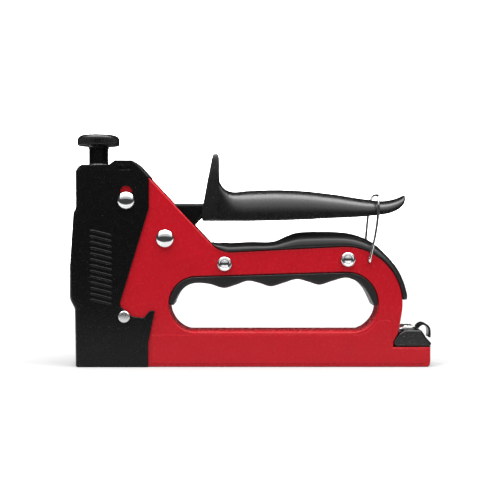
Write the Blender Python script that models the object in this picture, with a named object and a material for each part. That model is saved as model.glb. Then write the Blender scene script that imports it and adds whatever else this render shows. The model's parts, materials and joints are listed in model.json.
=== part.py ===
"""Hand staple gun with a squeeze lever, a spring striker and a rear-loading staple magazine.

The gun stands on its magazine. X runs from the nose (-X) to the tail (+X), Z is up, and the
mid-plane between the two side shells is Y = 0. Lengths below are in millimetres; add_mesh()
turns them into metres.
"""

import math

import bmesh
import bpy
from mathutils import Matrix, Vector

for old in list(bpy.data.objects):
    bpy.data.objects.remove(old, do_unlink=True)

MM = 0.001
GAP = 0.3

# Sheet-metal body
HALF_WIDTH = 9.0
SHEET = 1.2
LIP_INNER = 7.0
COVER_INNER = HALF_WIDTH + GAP
COVER_OUTER = 10.1
INSIDE = HALF_WIDTH - SHEET - GAP

# Rivets and pivots, as (x, z)
LEVER_PIVOT = (-43.4, 64.5)
FRONT_GRIP_RIVET = (-13.6, 51.8)
REAR_GRIP_RIVET = (48.1, 54.0)
NOSE_UPPER_RIVET = (-62.6, 83.5)
NOSE_LOWER_RIVET = (-63.8, 25.4)
BAIL_PIVOT = (58.9, 53.0)
CATCH_PIVOT = (83.0, 18.9)
SHANK = 2.6

# Striker and its spring, all on one vertical axis
STRIKER_X = -77.8
CARRIER_BOTTOM = 62.0
CARRIER_TOP = 77.0
SEAT_BOTTOM = 92.0
SEAT_TOP = 94.0
NUT_BOTTOM = 97.6
SCREW_RADIUS = 4.9
KNOB_BOTTOM = 109.9
KNOB_TOP = 117.9
KNOB_RADIUS = 10.7
BLADE_TIP = 13.6
BLADE_FRONT = -85.8
BLADE_BACK = -84.6

# Lever tip that lifts the striker
TIP_REACH = 29.8
TIP_RISE = math.radians(10.0)
TIP_RADIUS = 3.0

# Magazine
RAIL_TOP = 14.2
RAIL_HALF = 4.8
RAIL_WALL = 1.0
ROD_Z = 7.0
ROD_RADIUS = 1.5
FOLLOWER_FRONT = -79.8
FOLLOWER_BACK = -62.0

ARC_STEP = math.radians(12.0)
ROUND = 28


# ---------------------------------------------------------------- materials

def material(name, colour, roughness, metallic):
    """One Principled material."""
    made = bpy.data.materials.new(name)
    made.use_nodes = True
    shader = made.node_tree.nodes["Principled BSDF"]
    shader.inputs["Base Color"].default_value = (*colour, 1.0)
    shader.inputs["Roughness"].default_value = roughness
    shader.inputs["Metallic"].default_value = metallic
    return made


RED_PAINT = material("red_paint", (0.50, 0.014, 0.02), 0.42, 0.0)
BLACK_PAINT = material("black_paint", (0.012, 0.012, 0.013), 0.45, 0.0)
BLACK_PLASTIC = material("black_plastic", (0.02, 0.02, 0.021), 0.35, 0.0)
BLACK_RUBBER = material("black_rubber", (0.025, 0.024, 0.025), 0.6, 0.0)
BRIGHT_STEEL = material("bright_steel", (0.72, 0.73, 0.74), 0.18, 1.0)
PLAIN_STEEL = material("plain_steel", (0.45, 0.46, 0.47), 0.35, 1.0)
SPRING_STEEL = material("spring_steel", (0.35, 0.35, 0.36), 0.3, 1.0)
ZINC = material("zinc_plate", (0.62, 0.64, 0.62), 0.3, 1.0)


# ---------------------------------------------------------------- outlines

def rounded(corners, step=ARC_STEP):
    """Closed outline through (x, z, radius) corners, each rounded by a tangent arc."""
    points = []
    for index, (x, z, radius) in enumerate(corners):
        here = Vector((x, z))
        if radius == 0.0:
            points.append(here)
            continue
        before = Vector(corners[index - 1][:2]) - here
        after = Vector(corners[(index + 1) % len(corners)][:2]) - here
        before.normalize()
        after.normalize()
        half = before.angle(after) / 2.0
        centre = here + (before + after).normalized() * (radius / math.sin(half))
        start = here + before * (radius / math.tan(half)) - centre
        end = here + after * (radius / math.tan(half)) - centre
        first = math.atan2(start.y, start.x)
        turn = math.atan2(end.y, end.x) - first
        turn = (turn + math.pi) % (2.0 * math.pi) - math.pi
        pieces = max(2, math.ceil(abs(turn) / step))
        for piece in range(pieces + 1):
            angle = first + turn * piece / pieces
            points.append(centre + Vector((math.cos(angle), math.sin(angle))) * radius)
    return points


def offset(outline, distance):
    """An anticlockwise outline grown by distance, or shrunk if it is negative."""
    moved = []
    for index, here in enumerate(outline):
        before = (here - outline[index - 1]).normalized()
        after = (outline[(index + 1) % len(outline)] - here).normalized()
        normal = Vector((before.y, -before.x))
        bisector = (normal + Vector((after.y, -after.x))).normalized()
        moved.append(here + bisector * (distance / bisector.dot(normal)))
    return moved


def smooth_curve(points, per_span):
    """Catmull-Rom curve through the points, ends included."""
    knots = [Vector(p) for p in points]
    knots = [2.0 * knots[0] - knots[1]] + knots + [2.0 * knots[-1] - knots[-2]]
    curve = []
    for index in range(1, len(knots) - 2):
        a, b, c, d = knots[index - 1:index + 3]
        for step in range(per_span):
            t = step / per_span
            curve.append(0.5 * (2.0 * b + (c - a) * t
                                + (2.0 * a - 5.0 * b + 4.0 * c - d) * t ** 2
                                + (3.0 * b - a - 3.0 * c + d) * t ** 3))
    curve.append(knots[-2])
    return curve


# ---------------------------------------------------------------- solids

def add_mesh(name, bm, finish):
    """Turn a bmesh drawn in millimetres into an object in metres, faces out."""
    bmesh.ops.remove_doubles(bm, verts=bm.verts, dist=0.0005)
    bmesh.ops.recalc_face_normals(bm, faces=bm.faces)
    bmesh.ops.transform(bm, matrix=Matrix.Scale(MM, 4), verts=bm.verts)
    mesh = bpy.data.meshes.new(name)
    bm.to_mesh(mesh)
    bm.free()
    mesh.shade_smooth()
    mesh.set_sharp_from_angle(angle=math.radians(30.0))
    obj = bpy.data.objects.new(name, mesh)
    bpy.context.collection.objects.link(obj)
    if finish is None:
        obj.hide_render = True
        obj.display_type = "WIRE"
    else:
        mesh.materials.append(finish)
    return obj


def ring_solid(name, rings, finish, closed=False):
    """Skin rings of equal length; the ends are capped, or joined if closed."""
    bm = bmesh.new()
    loops = [[bm.verts.new(p) for p in ring] for ring in rings]
    size = len(rings[0])
    spans = len(loops) if closed else len(loops) - 1
    for index in range(spans):
        near = loops[index]
        far = loops[(index + 1) % len(loops)]
        for side in range(size):
            following = (side + 1) % size
            bm.faces.new((near[side], near[following], far[following], far[side]))
    if not closed:
        bm.faces.new(loops[0])
        bm.faces.new(loops[-1])
    return add_mesh(name, bm, finish)


def plate(name, outline, low_y, high_y, finish=None):
    """An outline in the XZ plane, extruded along Y."""
    rings = [[(p[0], y, p[1]) for p in outline] for y in (low_y, high_y)]
    return ring_solid(name, rings, finish)


def box(name, low, high, finish=None):
    """A block between two corners."""
    outline = [(low[0], low[2]), (high[0], low[2]), (high[0], high[2]), (low[0], high[2])]
    return plate(name, outline, low[1], high[1], finish)


def turned(name, profile, centre, axis, finish=None, segments=ROUND):
    """A closed (radius, height) profile turned about an axis; a zero radius is a pole."""
    turn = Vector((0.0, 0.0, 1.0)).rotation_difference(Vector(axis)).to_matrix()
    middle = Vector(centre)
    bm = bmesh.new()
    loops = []
    for radius, height in profile:
        spots = [(0.0, 0.0)]
        if radius > 0.0:
            angles = [2.0 * math.pi * k / segments for k in range(segments)]
            spots = [(radius * math.cos(a), radius * math.sin(a)) for a in angles]
        loops.append([bm.verts.new(middle + turn @ Vector((x, y, height))) for x, y in spots])
    hollow = profile[0][0] > 0.0
    for index in range(len(loops) if hollow else len(loops) - 1):
        near = loops[index]
        far = loops[(index + 1) % len(loops)]
        for k in range(segments):
            ends = (near[k % len(near)], near[(k + 1) % len(near)],
                    far[(k + 1) % len(far)], far[k % len(far)])
            bm.faces.new(list(dict.fromkeys(ends)))
    return add_mesh(name, bm, finish)


def cylinder(name, radius, start, end, finish=None, segments=ROUND):
    """A plain cylinder between two points."""
    span = Vector(end) - Vector(start)
    profile = [(0.0, 0.0), (radius, 0.0), (radius, span.length), (0.0, span.length)]
    return turned(name, profile, start, span.normalized(), finish, segments)


def cross_hole(name, spot, radius, half_length=20.0):
    """Cutter for a hole along Y through the point (x, z)."""
    return cylinder(name, radius, (spot[0], -half_length, spot[1]),
                    (spot[0], half_length, spot[1]))


def tube(name, inner, outer, spot, low_y, high_y, finish):
    """A sleeve or washer along Y round the point (x, z)."""
    profile = [(outer, high_y), (outer, low_y), (inner, low_y), (inner, high_y)]
    return turned(name, profile, (spot[0], 0.0, spot[1]), (0.0, 1.0, 0.0), finish)


def wire(name, path, radius, finish, sides=8):
    """Round wire along a path, with flat ends."""
    tangent = (path[1] - path[0]).normalized()
    across = tangent.orthogonal().normalized()
    rings = []
    for index, here in enumerate(path):
        ahead = path[min(index + 1, len(path) - 1)]
        behind = path[max(index - 1, 0)]
        fresh = (ahead - behind).normalized()
        across = (tangent.rotation_difference(fresh) @ across).normalized()
        tangent = fresh
        up = tangent.cross(across)
        angles = [2.0 * math.pi * k / sides for k in range(sides)]
        rings.append([here + (across * math.cos(a) + up * math.sin(a)) * radius
                      for a in angles])
    return ring_solid(name, rings, finish)


def coil(name, start, end, mean_radius, wire_radius, turns, finish, per_turn, sides):
    """Compression spring between two points."""
    base = Vector(start)
    span = Vector(end) - base
    frame = Vector((0.0, 0.0, 1.0)).rotation_difference(span.normalized()).to_matrix()
    steps = int(turns * per_turn)
    rise = span.length - 2.0 * wire_radius
    path = []
    for step in range(steps + 1):
        angle = 2.0 * math.pi * step / per_turn
        spot = Vector((mean_radius * math.cos(angle), mean_radius * math.sin(angle),
                       wire_radius + rise * step / steps))
        path.append(base + frame @ spot)
    return wire(name, path, wire_radius, finish, sides)


def change(obj, other, operation):
    """Leave a Boolean of one object by another on its modifier stack."""
    step = obj.modifiers.new(other.name, "BOOLEAN")
    step.operation = operation
    step.solver = "EXACT"
    step.object = other


def cut(obj, *cutters):
    """Cut each cutter out of the object."""
    for cutter in cutters:
        change(obj, cutter, "DIFFERENCE")


def join(obj, *others):
    """Join hidden solids to the object, so that it stays one body."""
    for other in others:
        change(obj, other, "UNION")


def joint_axis(name, location, *pieces):
    """Empty on a joint's axis that carries the pieces of one moving body."""
    empty = bpy.data.objects.new(name, None)
    empty.location = [value * MM for value in location]
    bpy.context.collection.objects.link(empty)
    back = Matrix.Translation([-value * MM for value in location])
    for piece in pieces:
        piece.parent = empty
        piece.matrix_parent_inverse = back
    return empty


# ---------------------------------------------------------------- side shells

# The notch at the tail takes the magazine's end cap; the long slope is where the lever
# comes out between the shells.
SHELL_OUTLINE = rounded([
    (-86.3, 0.0, 0.0), (89.6, 0.0, 2.0), (89.6, 10.0, 0.0), (71.1, 10.0, 0.0),
    (71.1, 12.8, 0.0), (73.3, 17.0, 2.0), (81.25, 62.3, 29.0), (-16.1, 57.4, 14.0),
    (-56.1, 99.9, 0.0), (-86.3, 99.9, 2.0)])

# The hand opening between the grip bar and the magazine.
OPENING_OUTLINE = rounded([
    (-41.6, 17.5, 13.7), (63.4, 17.5, 13.5), (63.4, 48.1, 15.8), (-41.6, 45.0, 13.9)])

GRIP_PEG_HALF = 2.2
UPPER_PEGS = ((5.0, 13.0), (28.0, 36.0))
LOWER_PEGS = ((-4.0, 4.0), (26.0, 34.0))


def shell_cutters():
    """Everything that is cut out of both shells."""
    hole = plate("opening_cutter", OPENING_OUTLINE, -20.0, 20.0)
    pocket = plate("pocket_cutter", offset(SHELL_OUTLINE, -SHEET),
                   SHEET - HALF_WIDTH, HALF_WIDTH - SHEET)
    cut(pocket, plate("rim_keeper", offset(OPENING_OUTLINE, SHEET), -21.0, 21.0))
    wall = HALF_WIDTH - SHEET
    cutters = [
        hole, pocket,
        box("nose_interior", (-95.0, -wall, SHEET), (-57.0, wall, 110.0)),
        box("bottom_slot", (-95.0, -LIP_INNER, -5.0), (95.0, LIP_INNER, SHEET + 0.1)),
        box("tail_exit", (70.4, -wall, SHEET), (95.0, wall, 16.9)),
        plate("lever_exit", [(-58.0, 90.0), (-21.0, 50.0), (-17.0, 62.0), (-58.0, 110.0)],
              -wall, wall),
        cross_hole("lever_pivot_hole", LEVER_PIVOT, SHANK + GAP),
        cross_hole("front_grip_hole", FRONT_GRIP_RIVET, SHANK + GAP),
        cross_hole("rear_grip_hole", REAR_GRIP_RIVET, SHANK + GAP),
        cross_hole("nose_upper_hole", NOSE_UPPER_RIVET, SHANK + GAP),
        cross_hole("nose_lower_hole", NOSE_LOWER_RIVET, 2.1),
        cross_hole("bail_hole", BAIL_PIVOT, 1.0)]
    slot_half = GRIP_PEG_HALF + GAP
    for number, (low, high) in enumerate(UPPER_PEGS):
        cutters.append(box(f"upper_peg_slot_{number}", (low - GAP, -slot_half, 54.0),
                           (high + GAP, slot_half, 65.0)))
    for number, (low, high) in enumerate(LOWER_PEGS):
        cutters.append(box(f"lower_peg_slot_{number}", (low - GAP, -slot_half, 43.0),
                           (high + GAP, slot_half, 51.0)))
    return cutters


SHELL_CUTTERS = shell_cutters()
left_shell = plate("left_side_shell", SHELL_OUTLINE, -HALF_WIDTH, -GAP / 2.0, RED_PAINT)
right_shell = plate("right_side_shell", SHELL_OUTLINE, GAP / 2.0, HALF_WIDTH, RED_PAINT)
cut(left_shell, *SHELL_CUTTERS)
cut(right_shell, *SHELL_CUTTERS)

# ---------------------------------------------------------------- nose cover

COVER_OUTLINE = rounded([
    (-88.4, 0.0, 1.5), (-51.9, 0.0, 0.0), (-51.9, 12.0, 8.0), (-49.2, 25.0, 0.0),
    (-48.4, 28.4, 0.0), (-51.0, 28.4, 1.0), (-54.0, 24.8, 2.0), (-59.5, 25.4, 2.0),
    (-66.3, 31.0, 0.0), (-51.4, 79.5, 3.0), (-51.4, 93.6, 0.0), (-56.7, 101.5, 0.0),
    (-59.6, 103.6, 0.0), (-68.2, 103.6, 0.0), (-71.1, 101.5, 0.0), (-87.7, 101.5, 2.8),
    (-87.7, 79.5, 0.0), (-88.6, 77.5, 0.0), (-90.2, 51.5, 0.0), (-90.2, 34.0, 0.0),
    (-88.4, 29.5, 0.0)])

nose_cover = plate("nose_cover", COVER_OUTLINE, -COVER_OUTER, COVER_OUTER, BLACK_PAINT)
cut(nose_cover,
    plate("cover_inside", offset(COVER_OUTLINE, -1.0), -COVER_INNER, COVER_INNER),
    plate("cover_back_opening", [(-86.6, -5.0), (-40.0, -5.0), (-40.0, 110.0),
                                 (-57.6, 110.0), (-57.6, 99.95), (-86.6, 99.95)],
          -COVER_INNER - 0.01, COVER_INNER + 0.01),
    box("cover_bottom_opening", (-87.25, -COVER_INNER - 0.02, -5.0),
        (-40.0, COVER_INNER + 0.02, 5.0)),
    cylinder("cover_screw_hole", SCREW_RADIUS + 0.4, (STRIKER_X, 0.0, 99.0),
             (STRIKER_X, 0.0, 110.0)),
    plate("cover_adjusting_slot", rounded([
        (-65.8, 80.3, 3.1), (-59.4, 80.3, 3.1), (-59.4, 91.0, 3.1), (-65.8, 91.0, 3.1)]),
        -20.0, 20.0),
    cross_hole("cover_lower_hole", NOSE_LOWER_RIVET, 2.1))

# ---------------------------------------------------------------- rivets and sleeves


def rivet(name, spot, head_radius, shank, seat, height, finish, dish=0.0):
    """Rivet along Y with a domed head on each side; dish is the hollow in its middle."""
    start = seat + GAP
    head = []
    if dish > 0.0:
        head = [(0.0, start + height * 0.35), (dish * 0.8, start + height * 0.35),
                (dish, start + height * 0.85)]
    else:
        head = [(0.0, start + height)]
    steps = 3
    for step in range(1, steps + 1):
        angle = math.pi / 2.0 * step / steps
        radius = dish + (head_radius - dish) * math.sin(angle)
        head.append((radius, start + height * (0.25 + 0.75 * math.cos(angle))))
    head += [(head_radius, start), (shank, start)]
    mirrored = [(radius, -height_y) for radius, height_y in reversed(head)]
    return turned(name, head + mirrored, (spot[0], 0.0, spot[1]), (0.0, 1.0, 0.0), finish, 20)


rivet("lever_pivot_rivet", LEVER_PIVOT, 4.5, SHANK, HALF_WIDTH, 1.5, BRIGHT_STEEL)
rivet("front_grip_rivet", FRONT_GRIP_RIVET, 3.7, SHANK, HALF_WIDTH, 1.3, BRIGHT_STEEL, 1.6)
rivet("rear_grip_rivet", REAR_GRIP_RIVET, 3.7, SHANK, HALF_WIDTH, 1.3, BRIGHT_STEEL, 1.6)
rivet("nose_upper_rivet", NOSE_UPPER_RIVET, 4.3, SHANK, COVER_OUTER, 1.4, BRIGHT_STEEL)
rivet("nose_lower_rivet", NOSE_LOWER_RIVET, 3.0, 1.8, COVER_OUTER, 0.8, ZINC)

BUSH_RADIUS = 4.0
WASHER_INNER_Y = 5.3
tube("pivot_bush", SHANK + GAP, BUSH_RADIUS, LEVER_PIVOT, -INSIDE, INSIDE, PLAIN_STEEL)
tube("left_pivot_washer", BUSH_RADIUS + GAP, 7.0, LEVER_PIVOT, -INSIDE, -WASHER_INNER_Y, ZINC)
tube("right_pivot_washer", BUSH_RADIUS + GAP, 7.0, LEVER_PIVOT, WASHER_INNER_Y, INSIDE, ZINC)
tube("front_spacer_sleeve", SHANK + GAP, 4.5, FRONT_GRIP_RIVET, -INSIDE, INSIDE, ZINC)
tube("rear_spacer_sleeve", SHANK + GAP, 4.5, REAR_GRIP_RIVET, -INSIDE, INSIDE, ZINC)

# ---------------------------------------------------------------- grips

GRIP_HALF = 9.6

# Palm rest on top of the grip bar, wrapping down behind it.
UPPER_GRIP_OUTLINE = rounded([
    (-20.8, 62.7, 0.0), (-19.0, 56.0, 0.0), (70.0, 50.0, 0.0), (73.0, 32.6, 0.0),
    (76.6, 32.6, 1.0), (77.9, 34.6, 1.0), (76.3, 41.5, 15.0), (71.7, 49.6, 15.0),
    (63.4, 60.2, 18.0), (51.0, 67.9, 14.0), (38.0, 67.8, 60.0), (22.6, 67.6, 10.0),
    (15.0, 62.7, 6.0)])
upper_grip = plate("upper_grip", UPPER_GRIP_OUTLINE, -GRIP_HALF, GRIP_HALF, BLACK_RUBBER)
cut(upper_grip, plate("upper_grip_seat", offset(SHELL_OUTLINE, GAP), -20.0, 20.0))
join(upper_grip, *[
    box(f"upper_grip_peg_{number}", (low, -GRIP_PEG_HALF, 55.3), (high, GRIP_PEG_HALF, 61.5))
    for number, (low, high) in enumerate(UPPER_PEGS)])

# Finger rest under the grip bar, with a ridge between each pair of fingers.
FINGER_CURVE = smooth_curve([
    (-39.3, 31.0), (-38.1, 34.0), (-35.6, 38.0), (-31.9, 41.0), (-27.4, 42.15), (-21.0, 41.6),
    (-14.1, 39.65), (-8.0, 41.2), (-1.9, 43.2), (4.0, 42.0), (9.6, 40.45), (16.0, 42.2),
    (22.5, 44.05), (28.5, 42.7), (33.9, 41.25), (40.0, 43.0), (46.6, 44.75), (50.6, 43.9),
    (54.1, 42.0), (57.6, 38.1), (59.9, 33.85), (61.3, 30.6)], 3)
FINGER_OUTLINE = [Vector(p) for p in FINGER_CURVE]
FINGER_OUTLINE += [Vector(p) for p in ((70.0, 30.6), (70.0, 60.0), (-50.0, 60.0),
                                       (-50.0, 31.0))]
finger_grip = plate("finger_grip", FINGER_OUTLINE, -GRIP_HALF, GRIP_HALF, BLACK_RUBBER)
change(finger_grip, plate("finger_grip_limit", offset(OPENING_OUTLINE, -GAP), -20.0, 20.0),
       "INTERSECT")
join(finger_grip, *[
    box(f"finger_grip_peg_{number}", (low, -GRIP_PEG_HALF, 44.3), (high, GRIP_PEG_HALF, 50.0))
    for number, (low, high) in enumerate(LOWER_PEGS)])

# ---------------------------------------------------------------- nose insides

box("front_plate", (-86.9, -6.7, 0.3), (-86.1, 6.7, 48.0), PLAIN_STEEL)
box("striker_bumper", (-84.2, -7.3, 40.0), (-64.0, 7.3, 48.5), BLACK_RUBBER)
tension_nut = box("tension_nut", (-85.2, -INSIDE, NUT_BOTTOM), (-60.0, INSIDE, 99.7),
                  PLAIN_STEEL)
cut(tension_nut, cylinder("nut_bore", SCREW_RADIUS + GAP, (STRIKER_X, 0.0, 90.0),
                          (STRIKER_X, 0.0, 105.0)))

# ---------------------------------------------------------------- lever

TIP = (LEVER_PIVOT[0] - TIP_REACH * math.cos(TIP_RISE),
       LEVER_PIVOT[1] + TIP_REACH * math.sin(TIP_RISE))
ARM_HALF = 5.0
ARM_WALL = 1.4
ARM_TOP = 82.2
TANG_BOTTOM = 75.4
TANG_END = 28.0

ARM_OUTLINE = rounded([
    (TIP[0] - TIP_RADIUS, TIP[1] - TIP_RADIUS + 0.5, 2.6), (-70.2, TIP[1] - 2.9, 2.0),
    (-58.0, 63.6, 3.0), (-50.5, 57.4, 5.0), (-38.5, 56.0, 6.0), (-33.0, 66.8, 6.0),
    (-24.8, TANG_BOTTOM, 0.0), (TANG_END, TANG_BOTTOM, 2.0), (TANG_END, ARM_TOP, 2.0),
    (-45.5, ARM_TOP, 5.0), (-55.5, 72.0, 5.0), (-69.0, TIP[1] + 1.5, 2.0),
    (TIP[0] - TIP_RADIUS, TIP[1] + TIP_RADIUS, 2.4)])
lever_arm = plate("lever_arm", ARM_OUTLINE, -ARM_HALF, ARM_HALF, BLACK_PAINT)
cut(lever_arm,
    plate("arm_channel", [
        (-62.0, 50.0), (TANG_END + 3.0, 50.0), (TANG_END + 3.0, ARM_TOP - ARM_WALL),
        (-45.0, ARM_TOP - ARM_WALL), (-54.5, 71.0), (-62.0, 70.0)],
        ARM_WALL - ARM_HALF, ARM_HALF - ARM_WALL),
    cross_hole("arm_pivot_hole", LEVER_PIVOT, BUSH_RADIUS + GAP))

# Handle sections as (x, underside, top, half width), from the guard to the upturned tail.
HANDLE_SECTIONS = (
    (-24.7, 73.6, 84.0, 8.6), (-22.0, 73.4, 88.0, 9.2), (-12.0, 73.4, 88.2, 9.6),
    (-1.9, 73.4, 88.5, 9.9), (12.4, 73.7, 88.9, 10.0), (26.6, 74.2, 88.3, 9.8),
    (40.9, 74.9, 86.7, 9.3), (55.2, 75.6, 84.5, 8.6), (62.3, 76.3, 83.6, 8.2),
    (69.4, 77.5, 83.6, 7.8), (73.0, 79.1, 84.5, 7.4), (76.1, 81.6, 85.7, 6.6),
    (77.6, 83.7, 86.3, 5.2))
HANDLE_SIDES = 20
HANDLE_POWER = 2.6


def handle_ring(x, low, high, half):
    """Rounded-rectangle section of the handle at x."""
    ring = []
    for k in range(HANDLE_SIDES):
        angle = 2.0 * math.pi * (k + 0.5) / HANDLE_SIDES
        side = math.cos(angle)
        rise = math.sin(angle)
        y = half * math.copysign(abs(side) ** (2.0 / HANDLE_POWER), side)
        z = (high - low) / 2.0 * math.copysign(abs(rise) ** (2.0 / HANDLE_POWER), rise)
        ring.append((x, y, (low + high) / 2.0 + z))
    return ring


lever_handle = ring_solid("lever_handle", [handle_ring(*s) for s in HANDLE_SECTIONS],
                          BLACK_PLASTIC)
GUARD_OUTLINE = rounded([
    (-24.5, 80.0, 0.0), (-8.0, 80.0, 0.0), (-8.0, 87.3, 0.0), (-16.0, 88.5, 5.0),
    (-16.9, 107.4, 1.1), (-20.0, 107.4, 1.2)])
join(lever_handle, plate("guard_fin", GUARD_OUTLINE, -8.0, 8.0))
cut(lever_handle, box("tang_socket", (-40.0, -ARM_HALF - GAP, TANG_BOTTOM - GAP),
                      (TANG_END + GAP, ARM_HALF + GAP, ARM_TOP + GAP)))
joint_axis("lever_axis", (LEVER_PIVOT[0], 0.0, LEVER_PIVOT[1]), lever_arm, lever_handle)

# ---------------------------------------------------------------- striker

CARRIER_HALF = 5.5
WINDOW_HALF = TIP_RADIUS + 0.7
striker_carrier = plate("striker_carrier", [
    (-84.3, CARRIER_BOTTOM), (-70.0, CARRIER_BOTTOM), (-70.0, TIP[1] - WINDOW_HALF),
    (-77.0, TIP[1] - WINDOW_HALF), (-77.0, TIP[1] + WINDOW_HALF),
    (-70.0, TIP[1] + WINDOW_HALF), (-70.0, CARRIER_TOP), (-84.3, CARRIER_TOP)],
    -CARRIER_HALF, CARRIER_HALF, PLAIN_STEEL)
driver_blade = box("driver_blade", (BLADE_FRONT, -6.2, BLADE_TIP),
                   (BLADE_BACK, 6.2, CARRIER_TOP + 1.0), PLAIN_STEEL)
STRIKER_PIECES = [striker_carrier, driver_blade]
for label, height in (("lower", 64.2), ("upper", 75.0)):
    blade_hole = cylinder(f"{label}_blade_hole", 1.5 + GAP, (-90.0, 0.0, height),
                          (-79.2, 0.0, height), segments=16)
    cut(striker_carrier, blade_hole)
    cut(driver_blade, blade_hole)
    STRIKER_PIECES.append(cylinder(f"{label}_blade_rivet", 1.5, (BLADE_FRONT, 0.0, height),
                                   (-79.5, 0.0, height), ZINC, 16))
joint_axis("striker_axis", (STRIKER_X, 0.0, CARRIER_TOP), *STRIKER_PIECES)

# ---------------------------------------------------------------- tension adjuster

spring_seat = turned("spring_seat", [
    (0.0, SEAT_BOTTOM - 2.0), (3.6, SEAT_BOTTOM - 2.0), (3.6, SEAT_BOTTOM),
    (6.2, SEAT_BOTTOM), (6.2, SEAT_TOP), (0.0, SEAT_TOP)],
    (STRIKER_X, 0.0, 0.0), (0.0, 0.0, 1.0), ZINC)
main_spring = coil("main_spring", (STRIKER_X, 0.0, CARRIER_TOP + GAP),
                   (STRIKER_X, 0.0, SEAT_BOTTOM - GAP), 5.0, 0.8, 5.0, SPRING_STEEL, 14, 7)
joint_axis("tension_travel_axis", (STRIKER_X, 0.0, SEAT_TOP), spring_seat, main_spring)

KNOB_EDGE = 1.6
tension_knob = turned("tension_knob", [
    (0.0, 115.5), (SCREW_RADIUS + GAP, 115.5), (SCREW_RADIUS + GAP, KNOB_BOTTOM),
    (KNOB_RADIUS - 2.4, KNOB_BOTTOM), (KNOB_RADIUS, KNOB_BOTTOM + KNOB_EDGE + 0.4),
    (KNOB_RADIUS, KNOB_TOP - 3.0), (KNOB_RADIUS - 0.5, KNOB_TOP - KNOB_EDGE),
    (KNOB_RADIUS - KNOB_EDGE, KNOB_TOP - 0.5), (KNOB_RADIUS - 3.6, KNOB_TOP), (0.0, KNOB_TOP)],
    (STRIKER_X, 0.0, 0.0), (0.0, 0.0, 1.0), BLACK_PLASTIC, 36)
tension_screw = cylinder("tension_screw", SCREW_RADIUS, (STRIKER_X, 0.0, SEAT_TOP + GAP),
                         (STRIKER_X, 0.0, 115.2), BLACK_PAINT)
joint_axis("tension_turn_axis", (STRIKER_X, 0.0, KNOB_BOTTOM), tension_knob, tension_screw)

# ---------------------------------------------------------------- handle lock

BAIL_RADIUS = 0.7
BAIL_SIDE = 10.6
BAIL_CURVE = smooth_curve([
    (58.9, -10.2, 53.0), (58.95, -BAIL_SIDE, 54.6), (59.9, -BAIL_SIDE, 59.0),
    (61.3, -BAIL_SIDE, 65.0), (62.4, -BAIL_SIDE, 72.0), (63.0, -10.5, 79.0),
    (63.1, -9.0, 84.3), (63.1, -5.2, 87.0), (63.0, 0.0, 87.5), (62.6, 5.2, 87.0),
    (61.8, 9.0, 84.3), (60.8, 10.5, 79.0), (60.1, BAIL_SIDE, 72.0), (59.5, BAIL_SIDE, 65.0),
    (59.1, BAIL_SIDE, 59.0), (58.9, BAIL_SIDE, 54.6), (58.9, 10.2, 53.0)], 3)
BAIL_PATH = [Vector((58.9, -7.2, 53.0)), Vector((58.9, -9.4, 53.0))] + BAIL_CURVE
BAIL_PATH += [Vector((58.9, 9.4, 53.0)), Vector((58.9, 7.2, 53.0))]
handle_lock_bail = wire("handle_lock_bail", BAIL_PATH, BAIL_RADIUS, BRIGHT_STEEL)
joint_axis("bail_axis", (BAIL_PIVOT[0], 0.0, BAIL_PIVOT[1]), handle_lock_bail)

# ---------------------------------------------------------------- magazine

RAIL_FRONT = -83.6
RAIL_BACK = 69.0
RAIL_BOTTOM = 2.7
staple_rail = box("staple_rail", (RAIL_FRONT, -RAIL_HALF, RAIL_BOTTOM),
                  (RAIL_BACK, RAIL_HALF, RAIL_TOP), PLAIN_STEEL)
join(staple_rail, box("rail_feet", (58.0, -INSIDE, 1.5), (RAIL_BACK, INSIDE, 2.9)))
cut(staple_rail,
    box("rail_channel", (-90.0, RAIL_WALL - RAIL_HALF, -5.0),
        (90.0, RAIL_HALF - RAIL_WALL, RAIL_TOP - RAIL_WALL)),
    box("rail_follower_slot", (-81.0, -1.5, 10.0), (90.0, 1.5, 20.0)))

staple_follower = plate("staple_follower", [
    (FOLLOWER_FRONT, 3.4), (FOLLOWER_BACK, 3.4), (FOLLOWER_BACK, 12.9),
    (FOLLOWER_FRONT, 12.9)], -3.4, 3.4, ZINC)
join(staple_follower,
     box("follower_neck", (FOLLOWER_FRONT, -1.2, 12.0), (FOLLOWER_BACK, 1.2, 15.0)),
     box("follower_top", (FOLLOWER_FRONT, -6.5, 14.5), (FOLLOWER_BACK, 6.5, 15.8)),
     box("follower_left_leg", (FOLLOWER_FRONT, -6.5, 3.2), (FOLLOWER_BACK, -5.2, 15.8)),
     box("follower_right_leg", (FOLLOWER_FRONT, 5.2, 3.2), (FOLLOWER_BACK, 6.5, 15.8)))
cut(staple_follower, cylinder("follower_bore", ROD_RADIUS + GAP, (-90.0, 0.0, ROD_Z),
                              (-50.0, 0.0, ROD_Z), segments=16))
joint_axis("follower_axis", (FOLLOWER_BACK, 0.0, ROD_Z), staple_follower)

CAP_FRONT = 71.4
guide_rod = turned("guide_rod", [
    (0.0, -82.6), (2.6, -82.6), (2.6, FOLLOWER_FRONT - GAP),
    (ROD_RADIUS, FOLLOWER_FRONT - GAP), (ROD_RADIUS, 85.7), (0.0, 85.7)],
    (0.0, 0.0, ROD_Z), (1.0, 0.0, 0.0), PLAIN_STEEL, 16)
follower_spring = coil("follower_spring", (FOLLOWER_BACK + GAP, 0.0, ROD_Z),
                       (CAP_FRONT, 0.0, ROD_Z), 2.3, 0.3, 22.0, SPRING_STEEL, 9, 4)

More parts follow.
